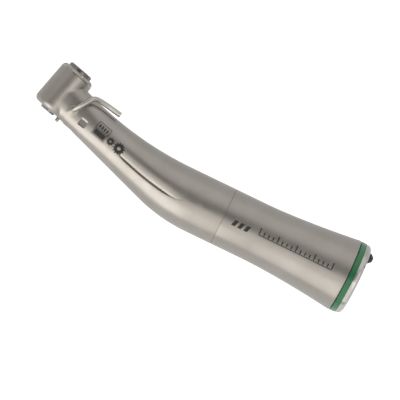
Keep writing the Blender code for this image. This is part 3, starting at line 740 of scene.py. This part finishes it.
def rear_pieces():
    sleeve = [(BAND_X[0], SLEEVE_BORE), (BAND_X[0], 7.95), (3.95, 7.95)]
    sleeve += [(x, float(flare(x))) for x in (3.95, *np.linspace(4.6, 30, 48), SEAM_X[0])]
    sleeve += [(SEAM_X[0], SLEEVE_BORE)]
    made = turned("handle_sleeve", sleeve, radius=0.07)
    dress(soften(made), "casing", LOOKS["satin_titanium"], "rear_sleeve", slot="satin_titanium")

    band = turned("colour_ring", [(2.27, 8.05), (2.27, 9.96), (BAND_X[1], 9.96), (BAND_X[1], 8.05)],
                  radius=0.10)
    dress(soften(band), "casing", LOOKS["green_band"], "colour_band", slot="green_band")

    ring = turned("end_ring", [
        (0.6, BUSH_BORE), (0.6, 6.1), (0.72, 6.15), (0.72, 8.55), (0.6, 8.6), (0.6, 9.2), (1.15, 9.78),
        (2.22, 9.9), (2.22, BUSH_BORE)], radius=0.07)
    carve(ring, [
        turned("plug_hole", [(-1, 0), (-1, 1.55), (3, 1.55), (3, 0)], radius=0, segments=64,
               centre=(GUIDE_Y, 0)),
        turned("pin_hole", [(-1, 0), (-1, 0.42), (1.2, 0.42), (1.2, 0)], radius=0, segments=32,
               centre=(-3.96, 8.33)),
    ])
    dress(soften(ring), "casing", END_STEEL, "rear_end_ring", slot="polished_steel")

    # Painted shade: a black disc inside the pin hole that darkens it.
    floor = turned("pin_hole_shade_disc", [(0.76, 0), (0.76, 0.33), (1.15, 0.33), (1.15, 0)], radius=0.02,
                   segments=24, centre=(-3.96, 8.29))
    dress(soften(floor), "casing", LOOKS["black_plastic"])

    plug = turned("light_connector", [
        (PLUG_TIP, 0), (PLUG_TIP, 0.6), (-0.95, 0.75), (-0.2, 1.43), (0.6, PLUG_RADIUS),
        (2.1, PLUG_RADIUS), (2.1, 0)],
        radius=0.05, segments=64, centre=(GUIDE_Y, 0))
    dress(soften(plug), "casing", LOOKS["black_plastic"], "light_plug", slot="black_plastic")


def socket_pieces():
    bush = turned("socket_bush", [
        (2.4, 5.05), (2.4, 5.7), (6.0, 5.7), (6.0, 5.35), (6.7, 5.35), (6.7, 5.7), (20.2, 5.7),
        (20.2, BUSH_BORE), (12.6, BUSH_BORE), (12.6, 5.3), (11.8, 5.3), (11.8, BUSH_BORE),
        (2.75, BUSH_BORE)], radius=0.05)
    dress(soften(bush), "casing", LOOKS["bronze"], "coupling_bush", slot="bronze")
    latch = turned("latch_wire", [(11.9, 4.75), (11.9, 5.22), (12.5, 5.22), (12.5, 4.75)], radius=0.2)
    dress(soften(latch), "casing", END_STEEL, "latch_ring", slot="polished_steel")
    dog = turned("motor_dog", [(17.0, 1.05), (17.0, 2.1), (20.0, 2.1), (20.0, 1.05)], radius=0.12,
                 segments=64)
    carve(dog, [block("dog_slot", (16, -0.6, -3), (18.4, 0.6, 3))])
    dress(soften(dog), "input", DOG_STEEL, "drive_dog", slot="gear_steel")


def head_pieces():
    cap = turned("cap_ring", [
        (-7.38, 3.85), (-7.38, 4.78), (-7.48, 4.9), (-7.6, 4.86), (-7.9, 4.62), (-8.3, 4.15),
        (-8.3, 3.6), (-8.0, 3.6), (-8.0, 3.85)], HEAD, 0.05)
    notches = []
    for k in range(CAP_NOTCHES):
        notch = block(f"notch_{k}", (-9, 4.32, -0.42), (-7.72, 6, 0.42), HEAD, 0.16, 0)
        notch.data.transform(Matrix.Rotation(math.tau * (k + 0.5) / CAP_NOTCHES, 4, "X"))
        notches.append(notch)
    carve(cap, notches)
    dress(soften(cap), "casing", CAP_STEEL, "head_cap", slot="polished_steel")

    button = turned("button_cap", [
        (-9.18, 0), (-9.22, 1.2), (-9.35, 2.3), (-9.35, 3.1), (-9.1, 3.5), (-7.95, 3.5), (-7.95, 3.75),
        (-7.6, 3.75), (-7.6, 1.2), (-6.95, 1.2), (-6.95, 0)], HEAD, 0.09)
    dress(soften(button), "button", BUTTON_STEEL, "push_button", slot="polished_steel")

    nose = turned("chuck_nose", [
        (NOSE_END, 1.18), (NOSE_END, 1.9), (NOSE_END - 0.2, 2.15), (3.85, 2.15), (3.85, 1.52),
        (-3.3, 1.52), (-3.3, 2.1), (-6.4, 2.1), (-6.4, 1.75), (-3.6, 1.75), (-3.6, 1.18)],
        HEAD, EDGE, 96)
    dress(soften(nose), "spindle", NOSE_STEEL, "chuck_spindle", slot="gear_steel")

    nozzle = turned("water_nozzle", [
        (3.85, 0.25), (3.85, 0.5), (NOZZLE_END - 0.2, 0.5), (NOZZLE_END, 0.42), (NOZZLE_END, 0.25)],
        HEAD, 0.04, 48, (NOZZLE_Y, 0))
    dress(soften(nozzle), "casing", CAP_STEEL, "spray_nozzle", slot="polished_steel")


def neck_pieces():
    dress(soften(casting()), "casing", LOOKS["satin_titanium"], "head_neck_shell", slot="satin_titanium")
    pane = block("lamp_window", (28.35, 3.75, -1.25), (31.45, 4.62, 1.25), NECK, 0.42, 1)
    bevel = pane.modifiers.new("bevel", "BEVEL")
    bevel.width = 0.08 * MM
    bevel.segments = 3
    settle(pane)
    dress(soften(pane), "casing", LOOKS["light_glass"], "light_window", slot="light_glass")

    # Painted shade: a thin dark sheet laid at the bottom of the pocket.
    floor = loft("pocket_shade_floor", [pocket_ring(-0.04, lift) for lift in (-0.5, -0.36)])
    dress(soften(floor), "casing", POCKET_SHADE)

    pipe = sweep("water_tube", smooth_path(TUBE_ROUTE, 10), TUBE_RADIUS, TUBE_BORE, 40, EDGE)
    dress(soften(pipe), "casing", TUBE_STEEL, "irrigation_tube", slot="polished_steel")


# Markings: plain signs with no lettering, as thin dark inlays


def inlay(name, patches, height):
    """Closed thin patches over a surface. Each patch is a grid of (x, y) points."""
    verts, faces = [], []
    for grid in patches:
        grid = np.asarray(grid, float)
        rows, cols = grid.shape[:2]
        z = height(grid[..., 0], grid[..., 1])
        base = len(verts)
        for level in INLAY:
            verts += [(x, y, h + level) for (x, y), h in zip(grid.reshape(-1, 2), z.ravel())]
        size = rows * cols

        def spot(r, c, layer=0):
            return base + layer * size + r * cols + c

        for r in range(rows - 1):
            for c in range(cols - 1):
                quad = (spot(r, c), spot(r, c + 1), spot(r + 1, c + 1), spot(r + 1, c))
                faces += [quad, tuple(q + size for q in quad[::-1])]
        rim = [(0, c) for c in range(cols)]
        rim += [(r, cols - 1) for r in range(1, rows)]
        rim += [(rows - 1, c) for c in range(cols - 2, -1, -1)]
        rim += [(r, 0) for r in range(rows - 2, 0, -1)]
        for one, two in zip(rim, rim[1:] + rim[:1]):
            faces.append((spot(*two), spot(*one), spot(*one, 1), spot(*two, 1)))
    return outward(fresh(name, verts, faces))


def bar(centre, size, turn=0.0, slant=0.0, steps=(5, 5)):
    """A rectangle, slanted or not, as a grid of points, turned in the XY plane."""
    a, b = np.meshgrid(*(np.linspace(-0.5, 0.5, n) for n in steps), indexing="ij")
    x, y = a * size[0] + slant * b * size[1], b * size[1]
    c, s = math.cos(turn), math.sin(turn)
    return np.stack([centre[0] + c * x - s * y, centre[1] + s * x + c * y], -1)


def wheel(centre, radius, teeth, hole, turn=0.0):
    """A gear sign: rows of points from its toothed outline to its hole; a hair's gap keeps it open."""
    angles, radii = [], []
    for k in range(teeth):
        for share, r in ((-0.28, 0.80), (-0.16, 1.0), (0.16, 1.0), (0.28, 0.80)):
            angles.append(turn + math.tau * (k + share) / teeth)
            radii.append(radius * r)
    angles.append(angles[0] + math.tau - 0.01)
    radii.append(radii[0])
    angles, radii = np.array(angles), np.array(radii)
    rows = []
    for share in (0.0, 0.5, 1.0):
        r = radii * (1 - share) + hole * share
        rows.append(np.stack([centre[0] + r * np.cos(angles), centre[1] + r * np.sin(angles)], -1))
    return np.stack(rows)


def markings():
    tilt = -BEND
    ahead = np.array([math.cos(tilt), math.sin(tilt)])
    aside = np.array([-math.sin(tilt), math.cos(tilt)])

    def at(a, b):
        return tuple(np.array(PLATE_SPOT) + ahead * a + aside * b)

    plate = []
    for b in (-1.9, 0.0, 1.9):
        plate.append(bar(at(0, b), (4.1, 0.16), tilt, steps=(14, 3)))
    for a in (-1.97, 1.97):
        plate.append(bar(at(a, 0), (0.16, 3.64), tilt, steps=(3, 14)))
    plate.append(bar(at(0, 0.95), (3.5, 1.42), tilt, steps=(14, 8)))
    for k in range(4):
        plate.append(bar(at(-1.2 + 0.8 * k, -0.95), (0.42, 0.95), tilt, steps=(4, 5)))
    signs = [wheel((74.55, -4.75), 1.1, 8, 0.3), wheel((71.75, -4.05), 1.62, 12, 0.5, 0.12)]
    dress(soften(inlay("mark_plate", plate, flank_z)), "casing", ETCHED)
    dress(soften(inlay("mark_gears", signs, flank_z)), "casing", ETCHED)

    blocks = [bar((34.3 + 1.75 * k, 0.25), (1.05, 1.6), slant=0.35, steps=(5, 7)) for k in (-1, 0, 1)]
    dress(soften(inlay("mark_blocks", blocks, sleeve_z)), "casing", ETCHED)

    scale = []
    for k in range(17):
        tall = 1.7 if k % 4 == 0 else 0.95
        scale.append(bar((29.2 - k * 1.3, -0.75 + (1.7 - tall) / 2), (0.34, tall), steps=(3, 7)))
    scale.append(bar((18.8, 0.32), (21.1, 0.22), steps=(60, 3)))
    dress(soften(inlay("mark_scale", scale, sleeve_z)), "casing", ETCHED)


def dress_cad():
    """Gives every CAD node the look of its material."""
    slots = {row["node"]: row["material_slot"] for row in frame["record"]["subparts"]}
    for name, node in frame["nodes"].items():
        node.data.materials.clear()
        node.data.materials.append(LOOKS[slots[name]])


# Stage


def lamp(name, place, aim, size, power):
    """A warm soft box at a TOOL point, aimed at another."""
    data = bpy.data.lights.new(name, "AREA")
    data.shape = "RECTANGLE"
    data.size, data.size_y = size[0] * MM, size[1] * MM
    data.energy = power
    data.color = WARM
    made = bpy.data.objects.new(name, data)
    bpy.context.scene.collection.objects.link(made)
    spot, goal = (TOOL @ (Vector(p) * MM) for p in (place, aim))
    back = (spot - goal).normalized()
    long_way = TOOL.col[0].to_3d()
    up = back.cross(long_way).normalized()
    made.matrix_world = basis(up.cross(back), up, back, spot)
    return made


def disc(name, height, tone, glow):
    """A round floor that gives off light of its own, from glow[0] at low world Y to glow[1]."""
    count = 48
    turns = [math.tau * k / count for k in range(count)]
    radii = (0.02, 0.3, 1.0, FLOOR_REACH)
    rings = [[(r * math.cos(t), r * math.sin(t), height) for t in turns] for r in radii]
    verts = [p for ring in rings for p in ring]
    faces = [tuple(range(count))]
    for k in range(len(rings) - 1):
        faces += [(k * count + i, k * count + (i + 1) % count, (k + 1) * count + (i + 1) % count,
                   (k + 1) * count + i) for i in range(count)]
    mesh = bpy.data.meshes.new(name)
    mesh.from_pydata(verts, [], faces)
    made = bpy.data.objects.new(name, mesh)
    bpy.context.scene.collection.objects.link(made)
    look, tree, shader = tree_of(name)
    pale = tuple(min(1.0, v * 1.02) for v in tone)
    tree.links.new(tinted(tree, noise(tree, 2.0), tone, pale), shader.inputs["Base Color"])
    shader.inputs["Roughness"].default_value = 0.9
    shader.inputs["Specular IOR Level"].default_value = 0.1
    shader.inputs["Emission Color"].default_value = (1, 1, 1, 1)
    side = tree.nodes.new("ShaderNodeMapRange")
    side.inputs["From Min"].default_value = -GLOW_EDGE
    side.inputs["From Max"].default_value = GLOW_EDGE
    side.inputs["To Min"].default_value = glow[0]
    side.inputs["To Max"].default_value = glow[1]
    tree.links.new(along_axis(tree, (0, 1, 0)), side.inputs["Value"])
    tree.links.new(side.outputs["Result"], shader.inputs["Emission Strength"])
    mesh.materials.append(look)
    return made


def studio():
    """Pale surroundings, darker overhead where a camera and its stand are, brighter on two sides."""
    world = bpy.data.worlds.new("studio")
    world.use_nodes = True
    tree = world.node_tree
    where = tree.nodes.new("ShaderNodeTexCoord")
    turn = TOOL.to_3x3()
    total = None
    for way, size, core, change in SKY_PATCHES:
        patch = tree.nodes.new("ShaderNodeMapping")
        patch.vector_type = "TEXTURE"
        patch.inputs["Location"].default_value = turn @ Vector(way).normalized()
        patch.inputs["Rotation"].default_value = turn.to_euler()
        patch.inputs["Scale"].default_value = size
        fade = tree.nodes.new("ShaderNodeTexGradient")
        fade.gradient_type = "SPHERICAL"
        level = tree.nodes.new("ShaderNodeMapRange")
        level.interpolation_type = "SMOOTHSTEP"
        level.inputs["From Max"].default_value = core
        level.inputs["To Min"].default_value = 0.0
        level.inputs["To Max"].default_value = change
        tree.links.new(where.outputs["Generated"], patch.inputs["Vector"])
        tree.links.new(patch.outputs["Vector"], fade.inputs["Vector"])
        tree.links.new(fade.outputs["Fac"], level.inputs["Value"])
        added = tree.nodes.new("ShaderNodeMath")
        added.inputs[0].default_value = SKY
        if total:
            tree.links.new(total, added.inputs[0])
        tree.links.new(level.outputs["Result"], added.inputs[1])
        total = added.outputs["Value"]
    sky = tree.nodes["Background"]
    sky.inputs["Color"].default_value = (1.0, 0.985, 0.965, 1)
    tree.links.new(total, sky.inputs["Strength"])
    bpy.context.scene.world = world


def stage():
    """Light, camera and two floors: reflections skip the upper one and see the lower one."""
    studio()
    disc("floor", 0.0, (0.90, 0.90, 0.90), (0.75, 0.75)).visible_glossy = False
    disc("floor_bounce", -0.001, (0.02, 0.02, 0.02), (0.64, 0.84))
    for name, settings in LAMPS.items():
        lamp(name, *settings)

    camera = bpy.data.cameras.new("camera")
    camera.lens = LENS
    camera.sensor_width = 36.0
    camera.clip_start = 0.01
    made = bpy.data.objects.new("camera", camera)
    bpy.context.scene.collection.objects.link(made)
    right = TOOL.to_3x3() @ Vector(CAMERA_RIGHT)
    up = TOOL.to_3x3() @ Vector(CAMERA_UP)
    made.matrix_world = basis(right, up, right.cross(up), TOOL @ (Vector(CAMERA_SPOT) * MM))
    bpy.context.scene.camera = made
    bpy.context.scene.view_settings.view_transform = "Standard"


rear_pieces()
socket_pieces()
head_pieces()
neck_pieces()
markings()
dress_cad()
stage()
